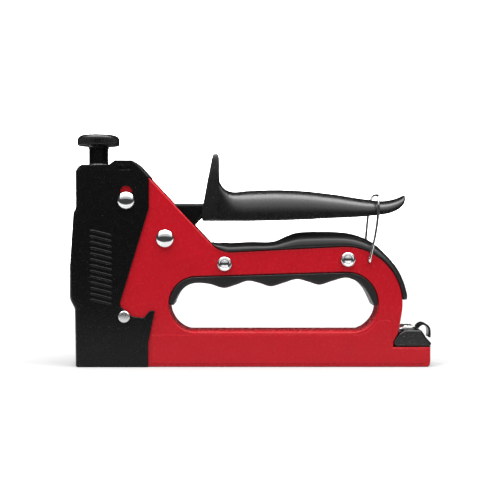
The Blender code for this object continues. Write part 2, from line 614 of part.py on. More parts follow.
# The cap saddles the tail of the shells and its core slides between them.
end_cap = plate("end_cap", [
    (CAP_FRONT, 10.3), (90.2, 10.3), (90.2, 12.2), (87.0, 12.6), (84.2, 18.0), (74.2, 18.0),
    (CAP_FRONT, 12.2)], -HALF_WIDTH, HALF_WIDTH, BLACK_PLASTIC)
join(end_cap, box("cap_core", (72.0, -INSIDE + 0.2, 2.6), (90.0, INSIDE - 0.2, 11.0)))
cut(end_cap, cylinder("cap_bore", ROD_RADIUS + GAP, (60.0, 0.0, ROD_Z),
                      (86.0, 0.0, ROD_Z), segments=16))
catch_plate = box("catch_plate", (74.3, -5.0, 18.3), (82.0, 5.0, 20.5), ZINC)
joint_axis("magazine_axis", (CAP_FRONT, 0.0, ROD_Z), guide_rod, follower_spring, end_cap,
           catch_plate)

# Spring strip that hooks over the cap's back and is pressed to free the magazine.
CATCH_HALF = 4.0
CATCH_SHEET = 0.8
CATCH_LINE = smooth_curve([(82.6, 18.8), (84.0, 20.6), (86.0, 21.5), (88.2, 20.2),
                           (89.2, 17.4), (89.2, 15.4), (88.6, 13.9)], 3)
CATCH_NORMALS = []
for index, here in enumerate(CATCH_LINE):
    ahead = CATCH_LINE[min(index + 1, len(CATCH_LINE) - 1)]
    behind = CATCH_LINE[max(index - 1, 0)]
    along = (ahead - behind).normalized()
    CATCH_NORMALS.append(Vector((-along.y, along.x)) * (CATCH_SHEET / 2.0))
CATCH_OUTLINE = [p - n for p, n in zip(CATCH_LINE, CATCH_NORMALS)]
CATCH_OUTLINE += [p + n for p, n in reversed(list(zip(CATCH_LINE, CATCH_NORMALS)))]
end_catch = plate("end_catch", CATCH_OUTLINE, -CATCH_HALF, CATCH_HALF, BLACK_PAINT)
joint_axis("catch_axis", (CATCH_PIVOT[0], 0.0, CATCH_PIVOT[1]), end_catch)
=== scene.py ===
"""Finish of the hand staple gun: fine shapes, materials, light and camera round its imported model.

Shapes are drawn in millimetres and turned into metres as each mesh is made. X runs from the
nose (-X) to the tail (+X), Z is up, and Y = 0 is the mid-plane between the two side shells.
"""

import json
import math

import bmesh
import bpy
from mathutils import Matrix, Vector


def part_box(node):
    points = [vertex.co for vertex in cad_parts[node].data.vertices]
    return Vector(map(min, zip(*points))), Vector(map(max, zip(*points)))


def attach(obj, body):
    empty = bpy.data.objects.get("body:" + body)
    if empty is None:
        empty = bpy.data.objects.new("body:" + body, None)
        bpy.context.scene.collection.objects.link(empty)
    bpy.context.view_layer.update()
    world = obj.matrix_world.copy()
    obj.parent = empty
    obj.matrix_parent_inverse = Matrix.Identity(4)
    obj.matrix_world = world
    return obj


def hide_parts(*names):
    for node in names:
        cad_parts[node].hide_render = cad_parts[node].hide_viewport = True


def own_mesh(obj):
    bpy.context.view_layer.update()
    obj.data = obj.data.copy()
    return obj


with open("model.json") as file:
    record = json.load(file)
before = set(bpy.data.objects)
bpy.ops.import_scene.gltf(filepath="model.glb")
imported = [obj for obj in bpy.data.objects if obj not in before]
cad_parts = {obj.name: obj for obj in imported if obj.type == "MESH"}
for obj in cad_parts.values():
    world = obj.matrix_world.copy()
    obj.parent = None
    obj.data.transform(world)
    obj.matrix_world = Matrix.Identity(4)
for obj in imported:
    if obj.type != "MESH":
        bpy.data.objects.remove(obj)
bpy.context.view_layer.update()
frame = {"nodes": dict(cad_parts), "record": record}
MM = 0.001
GAP = 0.3
WELD = 0.0005
# How far cutters reach to each side, and along the gun past its ends.
REACH = 20.0
OUTSIDE = 95.0
ARC_STEP = math.radians(5.0)
CORNER = math.pi / 2.0
ACROSS = Vector((0.0, 1.0, 0.0))
UP = Vector((0.0, 0.0, 1.0))


# ---------- places read from the frame

def box_mm(node):
    """Lowest and highest corner of a CAD node, in millimetres."""
    low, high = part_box(node)
    return low / MM, high / MM


def spot(node):
    """Middle of a CAD node as (x, z)."""
    low, high = box_mm(node)
    return ((low.x + high.x) / 2.0, (low.z + high.z) / 2.0)


JOINTS = {joint["name"]: joint for joint in frame["record"]["behaviour"]["joints"]}


def joint_spot(name):
    """Where a joint's axis crosses the mid-plane, as (x, z)."""
    x, _, z = JOINTS[name]["pos_m"]
    return (x / MM, z / MM)


HALF_WIDTH = box_mm("right_side_shell")[1].y
COVER_OUTER = box_mm("nose_cover")[1].y
COVER_INNER = HALF_WIDTH + GAP
SHEET = 1.2
INSIDE = HALF_WIDTH - SHEET - GAP
GRIP_HALF = box_mm("upper_grip")[1].y

LEVER_PIVOT = joint_spot("lever_swing")
BAIL_PIVOT = joint_spot("bail_swing")
FRONT_GRIP_RIVET = spot("front_spacer_sleeve")
REAR_GRIP_RIVET = spot("rear_spacer_sleeve")
NOSE_UPPER_RIVET = spot("nose_upper_rivet")
NOSE_LOWER_RIVET = spot("nose_lower_rivet")
SHANK = 2.6
SMALL_SHANK = 1.8

STRIKER_X = spot("tension_screw")[0]
SCREW_BOTTOM, SCREW_TOP = (corner.z for corner in box_mm("tension_screw"))
SCREW_RADIUS = box_mm("tension_screw")[1].y
KNOB_BOTTOM = box_mm("tension_knob")[0].z
# The finished crown stays a millimetre below the top of its CAD block.
KNOB_TOP = box_mm("tension_knob")[1].z - 1.0
KNOB_RADIUS = box_mm("tension_knob")[1].y


# ---------- outlines

def rounded(corners):
    """Closed outline through (x, z, radius) corners, each rounded by a tangent arc."""
    points = []
    for index, (x, z, radius) in enumerate(corners):
        here = Vector((x, z))
        if radius == 0.0:
            points.append(here)
            continue
        before = Vector(corners[index - 1][:2]) - here
        after = Vector(corners[(index + 1) % len(corners)][:2]) - here
        before.normalize()
        after.normalize()
        half = before.angle(after) / 2.0
        centre = here + (before + after).normalized() * (radius / math.sin(half))
        start = here + before * (radius / math.tan(half)) - centre
        end = here + after * (radius / math.tan(half)) - centre
        first = math.atan2(start.y, start.x)
        turn = math.atan2(end.y, end.x) - first
        turn = (turn + math.pi) % (2.0 * math.pi) - math.pi
        pieces = max(2, math.ceil(abs(turn) / ARC_STEP))
        for piece in range(pieces + 1):
            angle = first + turn * piece / pieces
            points.append(centre + Vector((math.cos(angle), math.sin(angle))) * radius)
    return points


def offset(outline, distance):
    """An anticlockwise outline grown by one distance, or by one for each of its points."""
    distances = [distance] * len(outline) if isinstance(distance, float) else distance
    moved = []
    for index, here in enumerate(outline):
        before = (here - outline[index - 1]).normalized()
        after = (outline[(index + 1) % len(outline)] - here).normalized()
        normal = Vector((before.y, -before.x))
        bisector = (normal + Vector((after.y, -after.x))).normalized()
        moved.append(here + bisector * (distances[index] / bisector.dot(normal)))
    return moved


def smooth_curve(points, per_span):
    """Catmull-Rom curve through the points, ends included."""
    knots = [Vector(p) for p in points]
    knots = [2.0 * knots[0] - knots[1]] + knots + [2.0 * knots[-1] - knots[-2]]
    curve = []
    for index in range(1, len(knots) - 2):
        a, b, c, d = knots[index - 1:index + 3]
        for step in range(per_span):
            t = step / per_span
            curve.append(0.5 * (2.0 * b + (c - a) * t
                                + (2.0 * a - 5.0 * b + 4.0 * c - d) * t ** 2
                                + (3.0 * b - a - 3.0 * c + d) * t ** 3))
    curve.append(knots[-2])
    return curve


def quarter(steps):
    """Angles from 0 to a right angle, in even steps."""
    return [CORNER * step / steps for step in range(steps + 1)]


def blend_step(value, low, high):
    """0 below low, 1 above high, and a smooth step between them."""
    t = min(1.0, max(0.0, (value - low) / (high - low)))
    return t * t * (3.0 - 2.0 * t)


def superellipse(angle, half_width, half_height, power):
    """Point of a rounded rectangle at an angle round its middle."""
    side = math.cos(angle)
    rise = math.sin(angle)
    return (half_width * math.copysign(abs(side) ** (2.0 / power), side),
            half_height * math.copysign(abs(rise) ** (2.0 / power), rise))


# ---------- solids

def place_mesh(name, bm):
    """Put a bmesh in the scene as a new object."""
    mesh = bpy.data.meshes.new(name)
    bm.to_mesh(mesh)
    bm.free()
    obj = bpy.data.objects.new(name, mesh)
    bpy.context.collection.objects.link(obj)
    return obj


def make(name, bm):
    """Turn a bmesh drawn in millimetres into an object in metres, faces out."""
    bmesh.ops.remove_doubles(bm, verts=bm.verts, dist=WELD)
    bmesh.ops.recalc_face_normals(bm, faces=bm.faces)
    bmesh.ops.transform(bm, matrix=Matrix.Scale(MM, 4), verts=bm.verts)
    return place_mesh(name, bm)


def skin(name, rings):
    """Skin rings of equal length and cap the two ends."""
    bm = bmesh.new()
    loops = [[bm.verts.new(p) for p in ring] for ring in rings]
    size = len(rings[0])
    for near, far in zip(loops, loops[1:]):
        for side in range(size):
            following = (side + 1) % size
            bm.faces.new((near[side], near[following], far[following], far[side]))
    bm.faces.new(loops[0])
    bm.faces.new(loops[-1])
    return make(name, bm)


def pillow(name, outline, low_y, high_y, low_rim=0.0, high_rim=0.0, steps=6):
    """Plate between two Y values with rounded rims. A rim is one radius or one per point."""
    rings = []
    for face_y, rim, inward in ((low_y, low_rim, 1.0), (high_y, high_rim, -1.0)):
        rims = [rim] * len(outline) if isinstance(rim, float) else rim
        parts = steps if max(rims) > 0.0 else 0
        side = []
        for part in range(parts + 1):
            angle = CORNER * part / max(parts, 1)
            shape = offset(outline, [-r * (1.0 - math.sin(angle)) for r in rims]) if parts \
                else outline
            side.append([(p.x, face_y + inward * r * (1.0 - math.cos(angle)), p.y)
                         for p, r in zip(shape, rims)])
        rings += side if inward > 0.0 else side[::-1]
    return skin(name, rings)


def box(name, low, high, rim=0.0):
    """A block between two corners, with rounded rims on its Y faces."""
    outline = [Vector(p) for p in ((low[0], low[2]), (high[0], low[2]),
                                   (high[0], high[2]), (low[0], high[2]))]
    return pillow(name, outline, low[1], high[1], rim, rim)


def flared(name, outline, flare, half):
    """Cutter along Y that opens out by flare where it leaves the faces at Y = +-half."""
    stations = [(-REACH, flare)]
    stations += [(-half + flare * (1.0 - math.cos(angle)), flare * (1.0 - math.sin(angle)))
                 for angle in quarter(6)]
    stations += [(-y, grow) for y, grow in reversed(stations)]
    return skin(name, [[(p.x, y, p.y) for p in offset(outline, grow)]
                       for y, grow in stations])


def turned(name, profile, centre, axis, segments=64, teeth=0):
    """A closed (radius, height[, tooth depth]) profile turned about an axis."""
    turn = UP.rotation_difference(Vector(axis)).to_matrix()
    middle = Vector(centre)
    bm = bmesh.new()
    loops = []
    for radius, height, *tooth in profile:
        depth = tooth[0] if tooth else 0.0
        loop = []
        for k in range(segments if radius > 0.0 else 1):
            angle = 2.0 * math.pi * k / segments
            reach = radius - depth * (0.5 + 0.5 * math.cos(teeth * angle))
            loop.append(bm.verts.new(middle + turn @ Vector(
                (reach * math.cos(angle), reach * math.sin(angle), height))))
        loops.append(loop)
    hollow = profile[0][0] > 0.0
    for index in range(len(loops) if hollow else len(loops) - 1):
        near = loops[index]
        far = loops[(index + 1) % len(loops)]
        for k in range(segments):
            ends = (near[k % len(near)], near[(k + 1) % len(near)],
                    far[(k + 1) % len(far)], far[k % len(far)])
            bm.faces.new(list(dict.fromkeys(ends)))
    return make(name, bm)


def cylinder(name, radius, start, end, segments=48):
    """A plain cylinder between two points."""
    span = Vector(end) - Vector(start)
    profile = [(0.0, 0.0), (radius, 0.0), (radius, span.length), (0.0, span.length)]
    return turned(name, profile, start, span.normalized(), segments)


def cross_hole(name, place, radius):
    """Cutter for a hole along Y through the point (x, z)."""
    x, z = place
    return cylinder(name, radius, (x, -REACH, z), (x, REACH, z))


def wire(name, path, radius, sides=16):
    """Round wire along a path, with its ends rounded off."""
    tangent = (path[1] - path[0]).normalized()
    across = tangent.orthogonal().normalized()
    rings = []
    for index, here in enumerate(path):
        ahead = path[min(index + 1, len(path) - 1)]
        behind = path[max(index - 1, 0)]
        fresh = (ahead - behind).normalized()
        across = (tangent.rotation_difference(fresh) @ across).normalized()
        tangent = fresh
        up = tangent.cross(across)
        thin = 0.8 if index in (0, len(path) - 1) else 1.0
        angles = [2.0 * math.pi * k / sides for k in range(sides)]
        rings.append([here + (across * math.cos(a) + up * math.sin(a)) * radius * thin
                      for a in angles])
    return skin(name, rings)


def coil(name, start, end, mean_radius, wire_radius, turns, per_turn, sides):
    """Compression spring between two points, with its end turns closed up."""
    base = Vector(start)
    span = Vector(end) - base
    basis = UP.rotation_difference(span.normalized()).to_matrix()
    steps = int(turns * per_turn)
    room = span.length - 2.0 * wire_radius
    closed = 2.2 * wire_radius
    path = []
    for step in range(steps + 1):
        turn = step / per_turn
        ends = min(turn, 1.0) * closed + max(0.0, turn - turns + 1.0) * closed
        open_part = min(1.0, max(0.0, (turn - 1.0) / (turns - 2.0)))
        height = wire_radius + ends + open_part * (room - 2.0 * closed)
        angle = 2.0 * math.pi * turn
        path.append(base + basis @ Vector((mean_radius * math.cos(angle),
                                           mean_radius * math.sin(angle), height)))
    return wire(name, path, wire_radius, sides)


def combine(obj, others, operation):
    """Apply one Boolean after another to the object and remove the solids it used."""
    for other in others:
        step = obj.modifiers.new(other.name, "BOOLEAN")
        step.operation = operation
        step.solver = "EXACT"
        step.object = other
    graph = bpy.context.evaluated_depsgraph_get()
    made = bpy.data.meshes.new_from_object(obj.evaluated_get(graph))
    obj.modifiers.clear()
    rough = obj.data
    obj.data = made
    made.name = obj.name
    bpy.data.meshes.remove(rough)
    for other in others:
        mesh = other.data
        bpy.data.objects.remove(other, do_unlink=True)
        bpy.data.meshes.remove(mesh)


def cut(obj, *cutters):
    """Cut each cutter out of the object."""
    combine(obj, cutters, "DIFFERENCE")


def join(obj, *others):
    """Join solids to the object, so that it stays one body."""
    combine(obj, others, "UNION")


def mirrored_copy(obj, name):
    """The same piece on the other side of the mid-plane."""
    bm = bmesh.new()
    bm.from_mesh(obj.data)
    bmesh.ops.transform(bm, matrix=Matrix.Scale(-1.0, 4, ACROSS), verts=bm.verts)
    bmesh.ops.reverse_faces(bm, faces=bm.faces)
    return place_mesh(name, bm)


# ---------- materials

# Noise keeps mostly between these two values.
NOISE_LOW = 0.3
NOISE_HIGH = 0.7


class Graph:
    """A short way to write a material's node tree."""

    def __init__(self, name, **values):
        self.material = bpy.data.materials.new(name)
        self.material.use_nodes = True
        self.tree = self.material.node_tree
        self.shader = self.tree.nodes["Principled BSDF"]
        self.place = self.node("ShaderNodeTexCoord").outputs["Object"]
        for key, value in values.items():
            self.shader.inputs[key.replace("_", " ")].default_value = value

    def node(self, kind, **settings):
        made = self.tree.nodes.new(kind)
        for key, value in settings.items():
            setattr(made, key, value)
        return made

    def link(self, start, end):
        self.tree.links.new(start, end)

    def noise(self, grain_mm, detail=2.0, roughness=0.5, stretch=None):
        """Noise whose patches are about grain_mm across, or longer where stretch is under 1."""
        place = self.place
        if stretch:
            mapping = self.node("ShaderNodeMapping")
            mapping.inputs["Scale"].default_value = stretch
            self.link(place, mapping.inputs["Vector"])
            place = mapping.outputs["Vector"]
        made = self.node("ShaderNodeTexNoise")
        made.inputs["Scale"].default_value = 1.0 / (grain_mm * MM)
        made.inputs["Detail"].default_value = detail
        made.inputs["Roughness"].default_value = roughness
        self.link(place, made.inputs["Vector"])
        return made.outputs["Fac"]

    def ramp(self, value, stops):
        """Colour ramp over (position, colour) stops."""
        made = self.node("ShaderNodeValToRGB")
        ramp = made.color_ramp
        while len(ramp.elements) < len(stops):
            ramp.elements.new(0.5)
        for element, (position, colour) in zip(ramp.elements, stops):
            element.position = position
            element.color = (*colour, 1.0)
        self.link(value, made.inputs["Fac"])
        return made.outputs["Color"]

    def bump(self, *layers):
        """Bump layers of (height, strength, depth in mm), one on top of another."""
        below = None
        for height, strength, depth in layers:
            made = self.node("ShaderNodeBump")
            made.inputs["Strength"].default_value = strength
            made.inputs["Distance"].default_value = depth * MM
            self.link(height, made.inputs["Height"])
            if below is not None:
                self.link(below, made.inputs["Normal"])
            below = made.outputs["Normal"]
        self.link(below, self.shader.inputs["Normal"])

    def tint(self, value, colour, change):
        """Base colour that varies a little either side of the given one."""
        low, high = ([part * (1.0 + sign * change) for part in colour] for sign in (-1.0, 1.0))
        self.link(self.ramp(value, ((NOISE_LOW, low), (NOISE_HIGH, high))),
                  self.shader.inputs["Base Color"])

    def gloss(self, value, low, high):
        """Roughness that varies between low and high."""
        made = self.node("ShaderNodeMapRange")
        for key, number in (("From Min", NOISE_LOW), ("From Max", NOISE_HIGH),
                            ("To Min", low), ("To Max", high)):
            made.inputs[key].default_value = number
        self.link(value, made.inputs["Value"])
        self.link(made.outputs["Result"], self.shader.inputs["Roughness"])


def mottled(name, metallic, specular, tint, gloss, *layers):
    """Material whose colour, gloss and relief all vary by noise.

    tint is (noise, colour, change), gloss is (noise, low, high), and each layer of relief is
    (noise, strength, depth in mm). A noise holds the arguments of Graph.noise.
    """
    g = Graph(name, Metallic=metallic, Specular_IOR_Level=specular)
    g.tint(g.noise(*tint[0]), *tint[1:])
    g.gloss(g.noise(*gloss[0]), *gloss[1:])
    g.bump(*[(g.noise(*grain), strength, depth) for grain, strength, depth in layers])
    return g.material


def zinc_plate():
    """Bright zinc plating with a faint warm and cool bloom."""
    g = Graph("zinc_plate", Metallic=1.0)
    bloom = g.noise(3.5, 3.0, 0.55)
    g.link(g.ramp(bloom, ((0.30, (0.60, 0.63, 0.64)), (0.52, (0.67, 0.68, 0.66)),
                          (0.72, (0.66, 0.63, 0.59)))), g.shader.inputs["Base Color"])
    g.gloss(g.noise(0.9, 5.0), 0.20, 0.34)
    g.bump((g.noise(0.35, 3.0), 0.14, 0.02))
    return g.material


def studio_paper(name, albedo):
    """Plain pale paper for the floor or backdrop."""
    g = Graph(name, Metallic=0.0, Specular_IOR_Level=0.0, Roughness=0.9)
    g.tint(g.noise(30.0, 2.0), [albedo] * 3, 0.004)
    return g.material


# Drawn lines along X.
DRAWN = (0.12, 3.0, 0.6, (0.04, 1.0, 1.0))
MATERIALS = {
    # Satin powder coat with a faint orange peel.
    "red_paint": mottled(
        "red_powder_coat", 0.0, 0.2,
        ((9.0, 3.0), (0.375, 0.0050, 0.0115), 0.035), ((1.6, 4.0), 0.22, 0.30),
        ((1.1, 2.0, 0.45), 0.22, 0.05), ((0.18, 2.0), 0.10, 0.02)),
    # Fine-textured powder coat.
    "black_paint": mottled(
        "black_powder_coat", 0.0, 0.18,
        ((3.0, 4.0), (0.0032, 0.0032, 0.0033), 0.18), ((0.9, 4.0), 0.20, 0.30),
        ((0.55, 3.0, 0.6), 0.12, 0.05), ((0.14, 2.0), 0.08, 0.015)),
    # Smooth moulding with a soft sheen.
    "handle_plastic": mottled(
        "handle_plastic", 0.0, 0.5,
        ((6.0, 3.0), (0.0038, 0.0037, 0.0038), 0.10), ((2.5, 5.0), 0.24, 0.32),
        ((2.2, 2.0, 0.4), 0.08, 0.05), ((0.16, 3.0), 0.10, 0.015)),
    # Moulding with a fine spark-eroded grain.
    "grip_plastic": mottled(
        "grip_plastic", 0.0, 0.4,
        ((1.2, 5.0), (0.0055, 0.0052, 0.0052), 0.16), ((0.8, 5.0), 0.34, 0.44),
        ((0.5, 3.0, 0.65), 0.35, 0.06), ((0.15, 2.0), 0.22, 0.03)),
    # Dull moulded rubber.
    "bumper_rubber": mottled(
        "bumper_rubber", 0.0, 0.35,
        ((1.5, 4.0), (0.018, 0.018, 0.018), 0.2), ((1.0, 4.0), 0.75, 0.88),
        ((0.4, 4.0, 0.6), 0.35, 0.08)),
    # Chrome plating with faint handling marks.
    "bright_steel": mottled(
        "bright_chrome", 1.0, 0.5,
        ((2.5, 4.0), (0.80, 0.81, 0.82), 0.03), ((0.7, 5.0, 0.6), 0.07, 0.16),
        ((1.6, 2.0), 0.05, 0.03), ((0.12, 2.0), 0.05, 0.006)),
    # Bare steel with a trace of oil.
    "plain_steel": mottled(
        "brushed_steel", 1.0, 0.5,
        ((4.0, 4.0), (0.46, 0.46, 0.47), 0.10), (DRAWN, 0.26, 0.44),
        (DRAWN, 0.25, 0.02), ((2.5, 2.0), 0.05, 0.05)),
    # Drawn wire, dark and slightly streaky.
    "spring_steel": mottled(
        "spring_steel", 1.0, 0.5,
        ((1.6, 4.0), (0.31, 0.31, 0.32), 0.14), ((0.5, 4.0), 0.24, 0.38),
        ((0.25, 3.0), 0.15, 0.02)),
    "zinc_plate": zinc_plate(),
}


def finish_piece(obj, slot, body, nodes, crease=32.0):
    """Smooth the piece, give it its slot's material, and fix it to its body."""
    mesh = obj.data
    mesh.shade_smooth()
    mesh.set_sharp_from_angle(angle=math.radians(crease))
    mesh.materials.clear()
    mesh.materials.append(MATERIALS[slot])
    weighted = obj.modifiers.new("even_shading", "WEIGHTED_NORMAL")
    weighted.keep_sharp = True
    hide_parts(*nodes)
    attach(obj, body)


# ---------- side shells

SHELL_RIM = 0.75
BAIL_RADIUS = 0.7
SHELL_OUTLINE = rounded([
    (-86.3, 0.0, 0.0), (89.6, 0.0, 2.0), (89.6, 10.0, 0.0), (71.1, 10.0, 0.0),
    (71.1, 12.8, 0.0), (73.5, 17.0, 2.0), (81.9, 62.3, 29.0), (-16.1, 57.4, 14.0),
    (-56.1, 99.9, 0.0), (-86.3, 99.9, 2.0)])
OPENING_OUTLINE = rounded([
    (-41.6, 17.5, 13.7), (63.4, 17.5, 13.5), (63.4, 48.1, 15.8), (-41.6, 45.0, 13.9)])

# The magazine housing stands a hair proud of the web above it, up to this line.
HOUSING_STEP = 0.18
HOUSING_OUTLINE = rounded([
    (-50.5, 1.8, 0.0), (86.9, 1.8, 1.0), (86.9, 9.0, 0.0), (70.3, 9.4, 0.0),
    (70.6, 16.0, 3.0), (70.9, 23.4, 2.0), (63.6, 23.4, 4.0), (56.5, 16.2, 8.0),
    (-50.5, 16.2, 0.0)])
# The folded edges of the shells make a flat floor to the hand opening, rolled at the sides.
OPENING_FLOOR = [Vector(p) for p in ((-28.0, 16.4), (50.0, 16.4), (55.0, 18.1), (-33.0, 18.1))]
FLOOR_INSET = 0.3
FLOOR_ROLL = (0.0, 0.0, 1.6, 1.6)

# Slots for the grips' pegs, as (low x, high x, low z, high z) of each peg's run.
PEG_HALF = 2.2
PEGS = ((5.0, 13.0, 54.0, 65.0), (28.0, 36.0, 54.0, 65.0),
        (-4.0, 4.0, 43.0, 51.0), (26.0, 34.0, 43.0, 51.0))


def shell_cutters():
    """Everything that is cut out of a shell: the CAD model's hollows with eased edges."""
    wall = HALF_WIDTH - SHEET
    pocket = pillow("pocket", offset(SHELL_OUTLINE, -SHEET), -wall, wall)
    cut(pocket, pillow("rim_keeper", offset(OPENING_OUTLINE, SHEET), -REACH, REACH))
    lever_exit = [Vector(p) for p in ((-58.0, 90.0), (-21.0, 50.0), (-17.0, 62.0),
                                      (-58.0, 110.0))]
    cutters = [
        flared("opening", OPENING_OUTLINE, 0.8, HALF_WIDTH), pocket,
        box("nose_interior", (-OUTSIDE, -wall, SHEET), (-57.0, wall, 110.0)),
        box("bottom_slot", (-OUTSIDE, -7.0, -5.0), (OUTSIDE, 7.0, SHEET + 0.1)),
        box("tail_exit", (69.6, -wall, SHEET), (OUTSIDE, wall, 16.9)),
        pillow("lever_exit", lever_exit, -wall, wall),
        cross_hole("nose_lower_hole", NOSE_LOWER_RIVET, SMALL_SHANK + GAP),
        cross_hole("bail_hole", BAIL_PIVOT, BAIL_RADIUS + GAP)]
    cutters += [cross_hole("rivet_hole", place, SHANK + GAP) for place in (
        LEVER_PIVOT, FRONT_GRIP_RIVET, REAR_GRIP_RIVET, NOSE_UPPER_RIVET)]
    slot_half = PEG_HALF + GAP
    cutters += [box("peg_slot", (low_x - GAP, -slot_half, low_z),
                    (high_x + GAP, slot_half, high_z)) for low_x, high_x, low_z, high_z in PEGS]
    return cutters


def side_shells():
    """The two pressed side shells."""
    left = pillow("side_shell_left", SHELL_OUTLINE, -HALF_WIDTH, -GAP / 2.0, SHELL_RIM)
    join(left, pillow("housing", HOUSING_OUTLINE, -HALF_WIDTH - HOUSING_STEP,
                      -HALF_WIDTH + 0.6, HOUSING_STEP, 0.0, 4))
    cut(left, *shell_cutters())
    join(left, pillow("opening_floor", OPENING_FLOOR, FLOOR_INSET - HALF_WIDTH,
                      -GAP / 2.0, FLOOR_ROLL))
    right = mirrored_copy(left, "side_shell_right")
    finish_piece(left, "red_paint", "frame", ["left_side_shell"])
    finish_piece(right, "red_paint", "frame", ["right_side_shell"])


# ---------- nose cover

COVER_CORNERS = (
    (-88.4, 0.0, 1.5), (-51.9, 0.0, 0.6), (-51.9, 12.0, 8.0), (-49.2, 25.0, 12.0),
    (-48.4, 28.4, 0.7), (-51.0, 28.4, 1.0), (-54.0, 24.8, 2.0), (-59.5, 25.4, 2.0),
    (-66.3, 31.0, 2.5), (-51.4, 79.5, 3.0), (-51.3, 95.5, 0.8), (-56.7, 101.5, 1.2),
    (-59.6, 103.6, 1.2), (-68.2, 103.6, 1.2), (-71.1, 101.5, 1.5), (-88.1, 101.5, 4.2),
    (-88.1, 79.9, 5.0), (-89.4, 77.3, 4.0), (-91.2, 51.5, 30.0), (-91.2, 34.0, 6.0),
    (-88.8, 29.3, 4.0))
COVER_OUTLINE = rounded(COVER_CORNERS)
COVER_SHEET = 1.0
# Corners tighter than the sheet is thick come to a point on the inside.
COVER_LINING = offset(rounded([(x, z, radius if radius > 1.2 else 0.0)
                               for x, z, radius in COVER_CORNERS]), -COVER_SHEET)
FRONT_BEND = 2.2
CUT_EDGE = 0.4
SLOPE_BEND = 0.9
TOP_SHARE = 0.3
HUMP_HEIGHT = 2.1
RIB_COUNT = 13
RIB_PITCH = 2.875
RIB_LEFT = Vector((-80.9, 68.6))
RIB_RUN = Vector((11.2, -2.75))
RIB_WIDTH = 1.5
RIB_PROUD = 0.42
RIB_TIP = 0.12
RIB_ROOT = 0.3


def cover_rims(outline):
    """Bend radius at each point of the cover: broad at the front, less so at the top and the
    slope, and a cut edge elsewhere."""
    rims = []
    for point in outline:
        front = 1.0 - blend_step(point.x, -86.4, -84.0)
        top = blend_step(point.y, 98.5, 100.4) * (1.0 - blend_step(point.x, -75.0, -73.0))
        foot = blend_step(point.y, 0.2, 2.0)
        slope = blend_step(point.x + 0.9 * point.y, 33.0, 34.4) * blend_step(point.y, 94.5, 96.0)
        rims.append(CUT_EDGE + max((FRONT_BEND - CUT_EDGE) * max(front * foot, TOP_SHARE * top),
                                   (SLOPE_BEND - CUT_EDGE) * slope))
    return rims


def rib(name, left):
    """One slanted pressed rib on the cover's near side, lens-shaped in section."""
    along = RIB_RUN.normalized()
    up = Vector((-along.y, along.x)) * (RIB_WIDTH / 2.0)
    rings = []
    stations = 14
    arc = 8
    for station in range(stations + 1):
        t = station / stations
        swell = RIB_TIP + (1.0 - RIB_TIP) * max(0.0, 1.0 - (2.0 * t - 1.0) ** 8) ** 0.5
        centre = left + RIB_RUN * t
        section = [(math.cos(math.pi * k / arc),
                    -COVER_OUTER - RIB_PROUD * swell * math.sin(math.pi * k / arc))
                   for k in range(arc + 1)]
        section += [(-1.0, RIB_ROOT - COVER_OUTER), (1.0, RIB_ROOT - COVER_OUTER)]
        rings.append([(centre.x + up.x * swell * share, y, centre.y + up.y * swell * share)
                      for share, y in section])
    return skin(name, rings)


def nose_cover():
    """The folded sheet nose with its ribs, adjusting slot and latch recess."""
    rims = cover_rims(COVER_OUTLINE)
    cover = pillow("nose_cover_formed", COVER_OUTLINE, -COVER_OUTER, COVER_OUTER,
                   rims, rims, 7)
    lining_rims = [max(0.0, rim - COVER_SHEET) for rim in cover_rims(COVER_LINING)]
    slot = rounded([(-65.6, 80.3, 2.9), (-59.7, 80.3, 2.9), (-59.7, 90.8, 2.9),
                    (-65.6, 90.8, 2.9)])
    back = [Vector(p) for p in ((-86.6, -5.0), (-40.0, -5.0), (-40.0, 83.2),
                                (-55.8, 99.95), (-86.6, 99.95))]
    cut(cover,
        pillow("cover_inside", COVER_LINING, -COVER_INNER, COVER_INNER,
               lining_rims, lining_rims, 4),
        pillow("cover_back_opening", back, -COVER_INNER - 0.01, COVER_INNER + 0.01),
        box("cover_bottom_opening", (-87.25, -COVER_INNER - 0.02, -5.0),
            (-40.0, COVER_INNER + 0.02, 5.0)),
        cylinder("cover_screw_hole", SCREW_RADIUS + 0.4, (STRIKER_X, 0.0, 99.0),
                 (STRIKER_X, 0.0, 110.0)),
        flared("cover_adjusting_slot", slot, 0.2, COVER_OUTER),
        cross_hole("cover_lower_hole", NOSE_LOWER_RIVET, SMALL_SHANK + GAP), *latch_recess())
    ribs = []
    for number in range(RIB_COUNT):
        near = rib(f"rib_near_{number}", RIB_LEFT - Vector((0.0, RIB_PITCH * number)))
        ribs += [near, mirrored_copy(near, f"rib_far_{number}")]
    join(cover, *ribs)
    finish_piece(cover, "black_paint", "frame", ["nose_cover"], 38.0)


def latch_recess():
    """Shallow pressed recess below the hump on the cover's top, on each side."""
    depth = 0.6
    outline = rounded([(-66.2, 98.5, 0.5), (-60.2, 98.5, 0.5), (-60.2, 101.2, 0.9),
                       (-66.2, 101.2, 0.5)])
    near = pillow("latch_recess_near", outline, -COVER_OUTER - 5.0, depth - COVER_OUTER,
                  0.0, depth, 1)
    return near, mirrored_copy(near, "latch_recess_far")


# ---------- rivets

def dome(head_radius, height):
    """Half profile of a domed head, from its crown to its rim."""
    return [(head_radius * math.sin(angle), height * (0.2 + 0.8 * math.cos(angle)))
            for angle in quarter(12)]


def dished(head_radius, height, dish):
    """Half profile of a tubular rivet head: a rolled ring round a small domed middle."""
    steps = 10
    profile = [(0.0, height * 0.62), (dish * 0.45, height * 0.56), (dish * 0.8, height * 0.36),
               (dish * 0.95, height * 0.30)]
    ring = (head_radius - dish) / 2.0
    for step in range(steps + 1):
        angle = math.pi * (1.0 - step / steps)
        profile.append((dish + ring + ring * math.cos(angle),
                        height * (0.30 + 0.70 * math.sin(angle))))
    return profile


